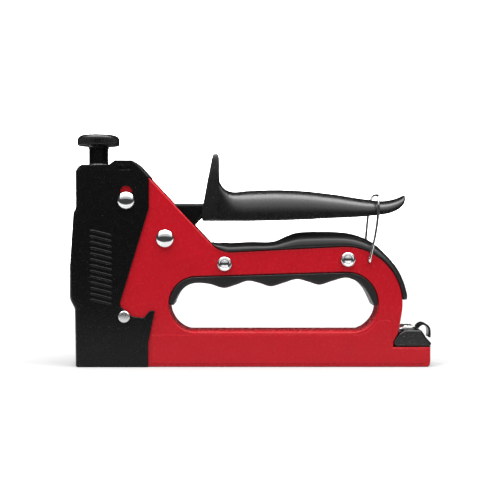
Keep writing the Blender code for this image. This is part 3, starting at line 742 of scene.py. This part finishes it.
def flat_head(head_radius, height):
    """Half profile of a flat head with an eased rim."""
    return [(0.0, height), (head_radius - 0.7, height), (head_radius - 0.3, height * 0.88),
            (head_radius - 0.08, height * 0.6), (head_radius, height * 0.3)]


def rivet(node, place, head, shank, seat, slot):
    """Rivet along Y with the same head on each side."""
    start = seat + GAP
    half = [(radius, start + rise) for radius, rise in head]
    half += [(head[-1][0], start), (shank, start)]
    profile = half + [(radius, -rise) for radius, rise in reversed(half)]
    made = turned(f"{node}_turned", profile, (place[0], 0.0, place[1]), ACROSS)
    finish_piece(made, slot, "frame", [node], 40.0)


def rivets():
    """Every rivet that shows."""
    rivet("lever_pivot_rivet", LEVER_PIVOT, dome(4.5, 2.0), SHANK, HALF_WIDTH, "bright_steel")
    rivet("nose_upper_rivet", NOSE_UPPER_RIVET, dome(4.3, 2.0), SHANK, COVER_OUTER,
          "bright_steel")
    for node, place in (("front_grip_rivet", FRONT_GRIP_RIVET),
                        ("rear_grip_rivet", REAR_GRIP_RIVET)):
        rivet(node, place, dished(3.7, 1.3, 2.3), SHANK, HALF_WIDTH, "bright_steel")
    rivet("nose_lower_rivet", NOSE_LOWER_RIVET, flat_head(3.0, 0.8), SMALL_SHANK, COVER_OUTER,
          "zinc_plate")


# ---------- grips

# Half section of the palm rest: a crowned top, an eased edge and a side that leans in.
PALM_SECTION = (
    (0.972, 0.0), (0.994, 0.07), (1.0, 0.14), (0.99, 0.23), (0.96, 0.36), (0.925, 0.46),
    (0.87, 0.545), (0.70, 0.70), (0.40, 0.89), (0.0, 1.0))
PALM_STEP = 1.0
CLOSE = 1e-6
# Both grips have a tongue that stands between the shells.
TONGUE_HALF = INSIDE - 0.2
TONGUE_DEPTH = 1.3
# Thickness of the palm rest over the grip bar, by distance along the bar's edge.
PALM_THICKNESS = (
    (0.0, 0.6), (3.0, 2.2), (7.0, 4.0), (20.0, 4.3), (32.0, 3.8), (39.5, 6.3), (46.0, 7.9),
    (60.0, 7.5), (68.0, 6.7), (74.6, 5.8), (81.3, 4.9), (90.0, 3.5), (106.0, 3.2),
    (110.2, 3.4), (111.8, 3.2), (112.6, 2.3))


def bar_edge():
    """Top and back edge of the grip bar, from the front of the palm rest to its lower end."""
    edge = [p for p in offset(SHELL_OUTLINE, GAP) if p.y > 30.0 and p.x > -21.0]
    return edge[::-1] + [Vector((75.9, 27.5))]


def walk(path, step):
    """Points and outward normals at an even step along a path, with their distances."""
    found = []
    travelled = 0.0
    goal = 0.0
    for start, end in zip(path, path[1:]):
        length = (end - start).length
        along = (end - start) / length
        while goal <= travelled + length:
            here = start + along * (goal - travelled)
            found.append((goal, here, Vector((-along.y, along.x))))
            goal += step
        travelled += length
    return found


def value_at(curve, x):
    """Height of a curve of (x, height) points at x, on the line between its neighbours."""
    after = next(index for index, point in enumerate(curve) if point.x >= x - CLOSE)
    low, high = curve[max(0, after - 1)], curve[after]
    share = (x - low.x) / max(high.x - low.x, CLOSE)
    return low.y + (high.y - low.y) * min(1.0, max(0.0, share))


def palm_rest():
    """Crowned palm rest along the top and back of the grip bar."""
    heights = smooth_curve(PALM_THICKNESS, 12)
    stations = walk(bar_edge(), PALM_STEP)
    normals = [sum((item[2] for item in stations[max(0, index - 2):index + 3]),
                   Vector((0.0, 0.0))).normalized() for index in range(len(stations))]
    near_side = smooth_curve(PALM_SECTION, 4)
    section = near_side + [Vector((-p.x, p.y)) for p in reversed(near_side[:-1])]
    rings = []
    for (distance, here, _), normal in zip(stations, normals):
        if distance > PALM_THICKNESS[-1][0]:
            break
        height = value_at(heights, distance)
        width = GRIP_HALF - 1.4 * (1.0 - min(1.0, height / 2.2))
        edge = [(here + normal * (height * rise), across) for across, rise in section]
        ring = [(point.x, width * across, point.y) for point, across in edge]
        root = here - normal * TONGUE_DEPTH
        ring += [(here.x, -TONGUE_HALF, here.y), (root.x, -TONGUE_HALF, root.y),
                 (root.x, TONGUE_HALF, root.y), (here.x, TONGUE_HALF, here.y)]
        rings.append(ring)
    grip = skin("palm_rest", rings)
    finish_piece(grip, "grip_plastic", "frame", ["upper_grip"], 50.0)


# The finger rest's straight edge follows the opening above this height.
FINGER_LOW = 31.5
FINGER_EDGE = 0.3
FINGER_ROLL = 1.3
FINGER_CURVE = smooth_curve([
    (-39.3, 31.0), (-38.1, 34.0), (-35.6, 38.0), (-31.9, 41.0), (-27.4, 42.15), (-21.0, 41.6),
    (-14.1, 39.65), (-8.0, 41.2), (-1.9, 43.2), (4.0, 42.0), (9.6, 40.45), (16.0, 42.2),
    (22.5, 44.05), (28.5, 42.7), (33.9, 41.25), (40.0, 43.0), (46.6, 44.75), (50.6, 43.9),
    (54.1, 42.0), (57.6, 38.1), (59.9, 33.85), (61.3, 30.6)], 6)


def finger_rest():
    """Ridged finger rest under the grip bar, rounded where the fingers lie."""
    bar, deep = ([p for p in offset(OPENING_OUTLINE, grow) if p.y > FINGER_LOW]
                 for grow in (-GAP, TONGUE_DEPTH - GAP))
    rims = [FINGER_EDGE + FINGER_ROLL * blend_step(p.y, 34.0, 41.5) for p in FINGER_CURVE]
    rims += [FINGER_EDGE] * len(bar)
    rest = pillow("finger_rest", FINGER_CURVE + bar, -GRIP_HALF, GRIP_HALF, rims, rims, 7)
    join(rest, pillow("finger_tongue", FINGER_CURVE + deep, -TONGUE_HALF, TONGUE_HALF))
    finish_piece(rest, "grip_plastic", "frame", ["finger_grip"], 45.0)


# ---------- lever

TIP_REACH = 29.8
TIP_RISE = math.radians(10.0)
TIP = (LEVER_PIVOT[0] - TIP_REACH * math.cos(TIP_RISE),
       LEVER_PIVOT[1] + TIP_REACH * math.sin(TIP_RISE))
TIP_RADIUS = 3.0
ARM_HALF = 5.0
ARM_WALL = 1.4
ARM_TOP = 82.2
TANG_BOTTOM = 75.4
TANG_END = 28.0
BUSH_RADIUS = 4.0

ARM_OUTLINE = rounded([
    (TIP[0] - TIP_RADIUS, TIP[1] - TIP_RADIUS + 0.5, 2.6), (-70.2, TIP[1] - 2.9, 2.0),
    (-58.0, 63.6, 3.0), (-50.5, 57.4, 5.0), (-38.5, 56.0, 6.0), (-33.0, 66.8, 6.0),
    (-24.8, TANG_BOTTOM, 0.0), (TANG_END, TANG_BOTTOM, 2.0), (TANG_END, ARM_TOP, 2.0),
    (-45.5, ARM_TOP, 5.0), (-55.5, 72.0, 5.0), (-69.0, TIP[1] + 1.5, 2.0),
    (TIP[0] - TIP_RADIUS, TIP[1] + TIP_RADIUS, 2.4)])


def lever_arm():
    """Pressed channel arm with a broad bend along its top edge."""
    rims = [0.25 + 1.45 * blend_step(p.y, 70.5, 75.0) for p in ARM_OUTLINE]
    arm = pillow("lever_arm_formed", ARM_OUTLINE, -ARM_HALF, ARM_HALF, rims, rims)
    channel = [Vector(p) for p in (
        (-62.0, 50.0), (TANG_END + 3.0, 50.0), (TANG_END + 3.0, ARM_TOP - ARM_WALL),
        (-45.0, ARM_TOP - ARM_WALL), (-54.5, 71.0), (-62.0, 70.0))]
    cut(arm, pillow("arm_channel", channel, ARM_WALL - ARM_HALF, ARM_HALF - ARM_WALL),
        cross_hole("arm_pivot_hole", LEVER_PIVOT, BUSH_RADIUS + GAP))
    finish_piece(arm, "black_paint", "lever", ["lever_arm"])


# Handle sections as (x, underside, top, half width, power). The block and the finger guard
# above it are square in section; the grip behind them is arched, up to the tail's tip.
GUARD_STATIONS = [
    (-24.95, 74.6, 77.0, 8.0, 8.0), (-24.9, 73.9, 79.5, 8.9, 8.0),
    (-24.75, 73.4, 80.6, 9.2, 8.0), (-24.3, 73.2, 82.4, 9.3, 10.0),
    (-22.2, 73.2, 94.0, 9.2, 14.0), (-20.1, 73.2, 104.6, 8.8, 14.0),
    (-19.8, 73.2, 106.0, 8.7, 14.0), (-19.4, 73.2, 106.8, 8.6, 12.0),
    (-18.7, 73.2, 107.1, 8.6, 12.0), (-17.5, 73.2, 107.1, 8.6, 12.0),
    (-17.0, 73.2, 106.8, 8.6, 12.0), (-16.75, 73.2, 106.0, 8.7, 14.0),
    (-16.7, 73.2, 100.0, 8.9, 12.0), (-16.6, 73.2, 95.2, 9.1, 10.0),
    (-16.3, 73.2, 93.2, 9.2, 9.0), (-15.6, 73.2, 92.0, 9.3, 8.0),
    (-14.5, 73.2, 90.3, 9.4, 6.5), (-13.3, 73.2, 89.3, 9.5, 5.0)]
GRIP_STATIONS = smooth_curve([
    (-11.5, 73.2, 88.4, 9.55, 3.4), (-8.7, 73.2, 88.0, 9.6, 2.5), (-4.5, 73.2, 88.35, 9.7, 2.15),
    (-1.9, 73.2, 88.65, 9.8, 2.05),
    (12.4, 73.45, 89.1, 9.9, 2.05), (26.6, 73.95, 88.5, 9.7, 2.05), (40.9, 74.65, 86.9, 9.3, 2.05),
    (48.0, 74.95, 85.85, 9.0, 2.05), (55.2, 75.35, 84.7, 8.6, 2.05),
    (62.3, 76.05, 83.8, 8.2, 2.05), (65.9, 76.5, 83.5, 8.0, 2.05), (69.4, 77.2, 83.8, 7.7, 2.1),
    (73.0, 78.7, 84.7, 7.2, 2.1), (75.4, 80.4, 85.6, 6.4, 2.1),
    (76.8, 82.1, 86.3, 5.2, 2.1), (77.6, 83.8, 86.5, 3.2, 2.1)], 6)
ARCH_SIDES = 52
WALL_SHARE = 0.22
WALL_CORNER = 0.08
GUARD_TAPER = 0.12


def arch(half_width, low, high, power):
    """Section with straight sides below and an arched top, as (y, z) points."""
    shoulder = low + WALL_SHARE * (high - low)
    points = []
    for k in range(ARCH_SIDES + 1):
        y, rise = superellipse(math.pi * k / ARCH_SIDES, half_width, high - shoulder, power)
        points.append((y, shoulder + max(rise, 0.0)))
    corner = WALL_CORNER * half_width
    bottom = [(half_width - corner * (1.0 - math.cos(angle)),
               low + (shoulder - low) * 0.25 * (1.0 - math.sin(angle))) for angle in quarter(6)]
    return points + [(-y, z) for y, z in bottom] + bottom[::-1]


def handle():
    """Moulded handle, lofted in one piece from the finger guard to the tail."""
    rings = []
    for x, low, high, half, power in GUARD_STATIONS + [tuple(s) for s in GRIP_STATIONS]:
        rings.append([(x, y * (1.0 - GUARD_TAPER * blend_step(z, 86.0, 109.0)), z)
                      for y, z in arch(half, low, high, power)])
    grip = skin("handle_moulding", rings)
    cut(grip, box("tang_socket", (-40.0, -ARM_HALF - GAP, TANG_BOTTOM - GAP),
                  (TANG_END + GAP, ARM_HALF + GAP, ARM_TOP + GAP)))
    finish_piece(grip, "handle_plastic", "lever", ["lever_handle"], 42.0)


# ---------- tension adjuster

KNOB_TEETH = 60
COLLAR_RADIUS = 5.2
COLLAR_HEIGHT = 1.4
THREAD_PITCH = 1.25
THREAD_DEPTH = 0.45
THREAD_RUNOUT = (100.6, 101.8)


def tension_knob():
    """Mushroom knob with a fluted rim and a small collar under it."""
    tooth = 0.45
    bore = SCREW_RADIUS + GAP
    under = KNOB_BOTTOM + COLLAR_HEIGHT
    profile = [
        (0.0, SCREW_TOP + GAP), (bore, SCREW_TOP + GAP), (bore, KNOB_BOTTOM + 0.3),
        (bore + 0.3, KNOB_BOTTOM), (COLLAR_RADIUS - 0.5, KNOB_BOTTOM),
        (COLLAR_RADIUS, KNOB_BOTTOM + 0.5), (COLLAR_RADIUS + 0.4, under - 0.2),
        (COLLAR_RADIUS + 0.9, under), (KNOB_RADIUS - 0.8, under),
        (KNOB_RADIUS - 0.3, under + 0.15, 0.0), (KNOB_RADIUS - 0.05, under + 0.5, tooth * 0.6),
        (KNOB_RADIUS, under + 0.9, tooth), (KNOB_RADIUS, KNOB_TOP - 3.2, tooth),
        (KNOB_RADIUS, KNOB_TOP - 2.9, tooth)]
    for step, angle in enumerate(quarter(10)):
        radius = KNOB_RADIUS - 3.2 + 3.15 * math.cos(angle)
        profile.append((radius, KNOB_TOP - 2.7 + 2.55 * math.sin(angle),
                        tooth * max(0.0, 1.0 - step / 3.0)))
    profile += [(KNOB_RADIUS - 4.2, KNOB_TOP - 0.25), (KNOB_RADIUS - 5.6, KNOB_TOP - 0.5),
                (KNOB_RADIUS * 0.2, KNOB_TOP - 0.6), (0.0, KNOB_TOP - 0.6)]
    knob = turned("tension_knob_moulded", profile, (STRIKER_X, 0.0, 0.0), UP,
                  KNOB_TEETH * 6, KNOB_TEETH)
    finish_piece(knob, "handle_plastic", "tension_adjuster", ["tension_knob"], 48.0)


def tension_screw():
    """Adjusting screw: threaded through the nut, plain and blackened at its neck."""
    segments = 48
    rows = round((SCREW_TOP - SCREW_BOTTOM) / (THREAD_PITCH / 8.0))
    rings = []
    for row in range(rows + 1):
        z = SCREW_BOTTOM + (SCREW_TOP - SCREW_BOTTOM) * row / rows
        depth = THREAD_DEPTH * (1.0 - blend_step(z, *THREAD_RUNOUT))
        ring = []
        for k in range(segments):
            angle = 2.0 * math.pi * k / segments
            wave = 0.5 + 0.5 * math.cos(2.0 * math.pi * z / THREAD_PITCH - angle)
            radius = SCREW_RADIUS - (THREAD_DEPTH if row in (0, rows) else depth * wave)
            ring.append((STRIKER_X + radius * math.cos(angle), radius * math.sin(angle), z))
        rings.append(ring)
    screw = skin("tension_screw_threaded", rings)
    finish_piece(screw, "black_paint", "tension_adjuster", ["tension_screw"], 60.0)


def screw_highlight_ring():
    """Thin bright zinc ring where the adjusting screw leaves the cover: a painted highlight that
    stands in for the light caught by the cover's edge round the screw.
    """
    top = box_mm("nose_cover")[1].z - HUMP_HEIGHT
    ring = turned("screw_highlight_ring", [
        (SCREW_RADIUS + 0.85, top + 0.4), (SCREW_RADIUS + 0.9, top + 0.05),
        (SCREW_RADIUS + 0.25, top + 0.05), (SCREW_RADIUS + 0.25, top + 0.4)],
        (STRIKER_X, 0.0, 0.0), UP)
    finish_piece(ring, "zinc_plate", "frame", [])


def main_spring():
    """Heavy spring between the striker and its seat."""
    low, high = box_mm("main_spring")
    spring = coil("main_spring_coiled", (STRIKER_X, 0.0, low.z), (STRIKER_X, 0.0, high.z),
                  mean_radius=5.0, wire_radius=0.8, turns=5.0, per_turn=40, sides=12)
    finish_piece(spring, "spring_steel", "tension_seat", ["main_spring"], 60.0)
    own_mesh(spring)


# ---------- handle lock

BAIL_SIDE = 10.6


def handle_lock_bail():
    """Bright wire hoop over the handle, sprung into a hole in each shell."""
    x, z = BAIL_PIVOT
    curve = smooth_curve([
        (x, -10.2, z), (58.95, -BAIL_SIDE, 54.6), (59.9, -BAIL_SIDE, 59.0),
        (61.3, -BAIL_SIDE, 65.0), (62.4, -BAIL_SIDE, 72.0), (63.0, -BAIL_SIDE, 79.0),
        (63.1, -10.3, 82.8), (63.1, -9.2, 84.9), (63.1, -6.2, 86.1), (63.0, 0.0, 86.3),
        (62.6, 6.2, 86.1), (62.0, 9.2, 84.9), (61.4, 10.3, 82.8), (60.8, BAIL_SIDE, 79.0),
        (60.1, BAIL_SIDE, 72.0), (59.5, BAIL_SIDE, 65.0), (59.1, BAIL_SIDE, 59.0),
        (x, BAIL_SIDE, 54.6), (x, 10.2, z)], 8)
    near_foot = [Vector((x, y, z)) for y in (-7.2, -8.4, -9.4)]
    far_foot = [Vector((x, y, z)) for y in (9.4, 8.4, 7.2)]
    bail = wire("handle_lock_wire", near_foot + curve + far_foot, BAIL_RADIUS)
    finish_piece(bail, "bright_steel", "bail", ["handle_lock_bail"], 60.0)


# ---------- magazine

ROD_Z = spot("guide_rod")[1]
ROD_RADIUS = 1.5
FOLLOWER_FRONT = box_mm("staple_follower")[0].x


def guide_rod():
    """Rod that the follower runs on, with a headed front end."""
    start, end = (corner.x for corner in box_mm("guide_rod"))
    neck = FOLLOWER_FRONT - GAP
    rod = turned("guide_rod_headed", [
        (0.0, start), (2.2, start), (2.6, start + 0.4), (2.6, neck - 0.3), (2.4, neck),
        (ROD_RADIUS, neck), (ROD_RADIUS, end - 0.3), (ROD_RADIUS - 0.3, end), (0.0, end)],
        (0.0, 0.0, ROD_Z), (1.0, 0.0, 0.0), 32)
    finish_piece(rod, "plain_steel", "magazine", ["guide_rod"])


def follower_spring():
    """Long light spring behind the follower."""
    start, end = (corner.x for corner in box_mm("follower_spring"))
    spring = coil("follower_spring_coiled", (start, 0.0, ROD_Z), (end, 0.0, ROD_Z),
                  mean_radius=2.3, wire_radius=0.3, turns=52.0, per_turn=16, sides=6)
    finish_piece(spring, "spring_steel", "magazine", ["follower_spring"], 60.0)
    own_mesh(spring)


def end_cap():
    """Moulded cap that saddles the tail, with a core that slides between the shells."""
    outline = rounded([
        (71.3, 10.45, 1.6), (88.9, 10.45, 0.9), (90.4, 11.4, 0.6), (89.6, 12.6, 0.8),
        (87.4, 15.0, 2.0), (85.2, 18.5, 1.2), (77.0, 18.5, 1.8), (74.2, 16.8, 2.0),
        (71.3, 12.9, 1.0)])
    cap = pillow("end_cap_moulded", outline, -HALF_WIDTH, HALF_WIDTH, 0.9, 0.9)
    core = box_mm("end_cap")[0].z
    join(cap, box("cap_core", (72.0, -INSIDE + 0.2, core), (90.0, INSIDE - 0.2, 11.0), 0.4))
    cut(cap, cylinder("cap_bore", ROD_RADIUS + GAP, (60.0, 0.0, ROD_Z), (86.0, 0.0, ROD_Z)))
    finish_piece(cap, "handle_plastic", "magazine", ["end_cap"])


def catch_plate():
    """Bright folded strip on top of the cap."""
    low, high = box_mm("catch_plate")
    outline = rounded([
        (low.x, low.z, 0.3), (high.x, low.z, 0.3), (high.x, high.z - 0.2, 0.5),
        (low.x + 2.6, high.z, 1.6), (low.x + 1.4, high.z - 0.7, 0.6), (low.x, high.z - 1.2, 0.3)])
    rims = [0.3 + 0.9 * blend_step(p.y, low.z + 0.4, high.z - 0.6) for p in outline]
    strip = pillow("catch_plate_folded", outline, low.y, high.y, rims, rims, 5)
    finish_piece(strip, "zinc_plate", "magazine", ["catch_plate"])


CATCH_HALF = 4.0
CATCH_SHEET = 1.0


def end_catch():
    """Spring strip that hooks over the cap's back, painted black."""
    line = smooth_curve([(84.3, 19.0), (84.6, 19.8), (85.6, 20.7), (87.1, 21.1), (88.7, 20.4),
                         (89.9, 18.9), (90.2, 16.8), (90.2, 15.2), (90.1, 14.3)], 6)
    faces = ([], [])
    for index, here in enumerate(line):
        along = line[min(index + 1, len(line) - 1)] - line[max(index - 1, 0)]
        normal = Vector((-along.y, along.x)).normalized() * (CATCH_SHEET / 2.0)
        faces[0].append(here - normal)
        faces[1].append(here + normal)
    outline = faces[0] + faces[1][::-1]
    strip = pillow("end_catch_strip", outline, -CATCH_HALF, CATCH_HALF, 0.15, 0.15, 3)
    finish_piece(strip, "black_paint", "catch", ["end_catch"])


for build in (side_shells, nose_cover, rivets, palm_rest, finger_rest, lever_arm, handle,
              tension_knob, tension_screw, screw_highlight_ring, main_spring, handle_lock_bail,
              guide_rod, follower_spring, end_cap, catch_plate, end_catch):
    build()

# ---------- parts kept from the CAD model

KEPT = {
    "plain_steel": ("front_plate", "tension_nut", "staple_rail", "pivot_bush",
                    "striker_carrier", "driver_blade"),
    "bumper_rubber": ("striker_bumper",),
    "zinc_plate": ("left_pivot_washer", "right_pivot_washer", "front_spacer_sleeve",
                   "rear_spacer_sleeve", "lower_blade_rivet", "upper_blade_rivet",
                   "spring_seat", "staple_follower"),
}
for kept_slot, kept_nodes in KEPT.items():
    for kept_node in kept_nodes:
        for material_slot in frame["nodes"][kept_node].material_slots:
            material_slot.material = MATERIALS[kept_slot]


# ---------- floor, light and camera

def paper_sweep(name, rows, material):
    """Sheet of studio paper through (y, z) rows, as wide as the studio."""
    width = 4.0
    bm = bmesh.new()
    lines = [[bm.verts.new((side * width, y, z)) for side in (-1.0, 1.0)] for y, z in rows]
    for near, far in zip(lines, lines[1:]):
        bm.faces.new((near[0], near[1], far[1], far[0]))
    sheet = place_mesh(name, bm)
    sheet.data.shade_smooth()
    sheet.data.materials.append(material)
    return sheet


def studio():
    """Pale floor and a backdrop that curves up behind it.

    Only the floor close to the gun shows in the gun's reflections.
    """
    front_y = -0.20
    behind_y = 0.2
    join_y = 1.2
    bend = 0.8
    rows = [(join_y, 0.0)]
    rows += [(join_y + 0.4 + bend * math.sin(angle), bend * (1.0 - math.cos(angle)))
             for angle in quarter(16)]
    rows.append((rows[-1][0], 3.0))
    floor_paper = studio_paper("floor_paper", 0.40)
    paper_sweep("studio_floor", [(front_y, 0.0), (behind_y, 0.0)], floor_paper)
    for name, sheet_rows, paper in (
            ("studio_floor_front", [(-3.0, 0.0), (front_y, 0.0)], floor_paper),
            ("studio_floor_back", [(behind_y, 0.0), (join_y, 0.0)], floor_paper),
            ("studio_backdrop", rows, studio_paper("backdrop_paper", 0.93))):
        paper_sweep(name, sheet_rows, paper).visible_glossy = False


def softbox(name, place, target, size, radiance):
    """Rectangular area light that faces the target."""
    light = bpy.data.lights.new(name, "AREA")
    light.shape = "RECTANGLE"
    light.size, light.size_y = size
    light.energy = radiance * math.pi * size[0] * size[1]
    lamp = bpy.data.objects.new(name, light)
    lamp.location = place
    aim = Vector(target) - Vector(place)
    lamp.rotation_euler = aim.to_track_quat("-Z", "Y").to_euler()
    bpy.context.collection.objects.link(lamp)


def lights():
    """Softboxes in an arch from low in front to overhead, and a wash on the backdrop."""
    middle = Vector((0.0, 0.0, 0.06))
    for name, degrees, distance, size, radiance in (
            ("overhead", 82.0, 1.1, (2.2, 0.56), 10.0),
            ("upper_front", 57.0, 1.2, (2.6, 0.42), 3.2),
            ("lower_front", 36.5, 1.25, (2.8, 0.46), 1.8),
            ("low_front", 18.5, 1.3, (2.8, 0.32), 0.6)):
        angle = math.radians(degrees)
        place = middle + Vector((0.0, -math.cos(angle), math.sin(angle))) * distance
        softbox(name, place, middle, size, radiance)
    softbox("backdrop_wash", (0.0, 1.2, 1.5), (0.0, 2.0, 0.89), (2.6, 0.6), 36.0)
    world = bpy.data.worlds.new("studio_air")
    world.use_nodes = True
    air = world.node_tree.nodes["Background"]
    air.inputs["Color"].default_value = (1.0, 1.0, 1.0, 1.0)
    air.inputs["Strength"].default_value = 0.05
    bpy.context.scene.world = world


def camera():
    """Camera square to the gun's side and a little above its middle."""
    distance = 0.479
    lift = math.radians(1.6)
    target = Vector((-0.0009, 0.0, 0.0585))
    data = bpy.data.cameras.new("camera")
    data.sensor_width = 36.0
    data.lens = 67.7
    data.clip_start = 0.01
    made = bpy.data.objects.new("camera", data)
    made.location = target + Vector((0.0, -distance, distance * math.tan(lift)))
    made.rotation_euler = (target - made.location).to_track_quat("-Z", "Y").to_euler()
    bpy.context.collection.objects.link(made)
    bpy.context.scene.camera = made


studio()
lights()
camera()
bpy.context.scene.view_settings.view_transform = "Standard"
